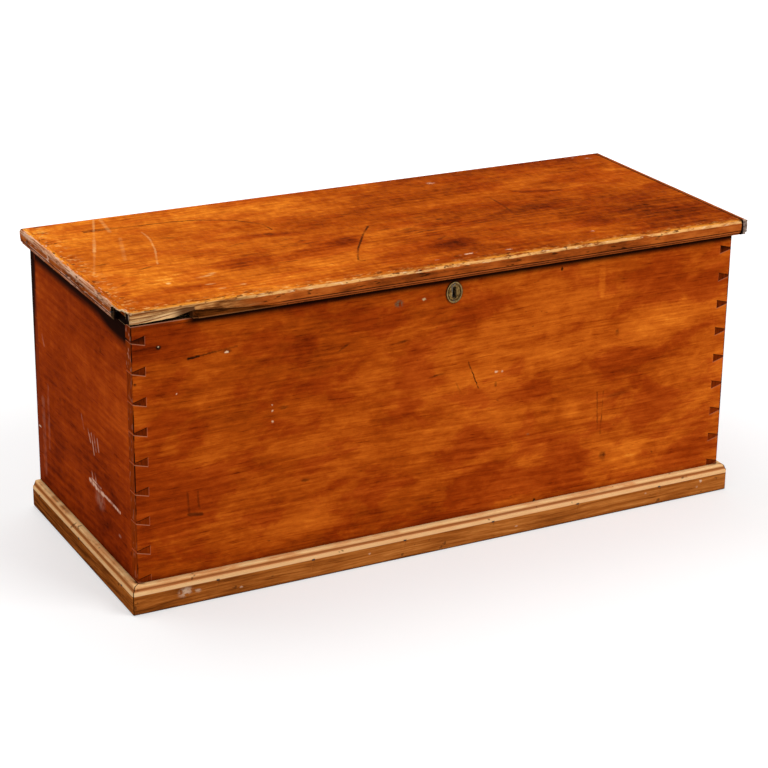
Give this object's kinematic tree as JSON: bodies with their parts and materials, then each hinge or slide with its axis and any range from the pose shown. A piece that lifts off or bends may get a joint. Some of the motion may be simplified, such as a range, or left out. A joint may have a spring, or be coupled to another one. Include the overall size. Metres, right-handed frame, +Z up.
{
  "type": "blanket chest",
  "caption": "Dovetailed wooden blanket chest with a hinged lid with moulded edges, broken at the front left corner, a moulded plinth, a brass keyhole plate and a chest lock.",
  "frame": {"origin": "on the floor, at the centre of the whole chest's footprint", "axes": "+X along the front towards the right-hand end, +Y from the front to the back, +Z up"},
  "size_m": [1.137, 0.485, 0.504],
  "materials": {
    "case_wood": "worn shellac on pine",
    "end_wood": "worn shellac on pine, redder",
    "lid_wood": "glossy shellac on pine",
    "moulding_wood": "worn shellac on pine",
    "plinth_wood": "rubbed shellac on pine",
    "bare_wood": "bare pine",
    "brass": "tarnished",
    "iron": "dark wrought iron",
    "steel": "old and dull"
  },
  "bodies": {
    "case": {"front_board": "case_wood", "back_board": "case_wood", "end_board_left": "end_wood", "end_board_right": "end_wood", "bottom_board_front": "bare_wood", "bottom_board_rear": "bare_wood", "bottom_nails": "iron", "plinth_front": "plinth_wood", "plinth_left": "plinth_wood", "plinth_right": "plinth_wood", "plinth_nails": "iron", "escutcheon": "brass", "escutcheon_pins": "brass", "lock_plate": "steel", "lock_case": "steel", "lock_spring": "steel", "lock_screws": "steel", "hinge_left_case_leaf": "iron", "hinge_left_pin": "iron", "hinge_right_case_leaf": "iron", "hinge_right_pin": "iron", "hinge_case_screws": "iron"},
    "lid": {"lid_board": "lid_wood", "lid_moulding_left": "moulding_wood", "lid_moulding_right": "moulding_wood", "lid_moulding_nails": "iron", "lock_strike": "steel", "strike_screws": "steel", "hinge_left_lid_leaf": "iron", "hinge_right_lid_leaf": "iron", "hinge_lid_screws": "iron"},
    "lock_bolt": {"lock_bolt": "steel"}
  },
  "joints": [
    {"name": "lid_hinge", "type": "hinge", "parent": "case", "child": "lid", "pos_m": [0, 0.238, 0.476], "axis": [-1, 0, 0], "range_deg": [0, 100]},
    {"name": "lock_bolt_slide", "type": "slide", "parent": "case", "child": "lock_bolt", "axis": [1, 0, 0], "range_m": [0, 0.007]}
  ]
}
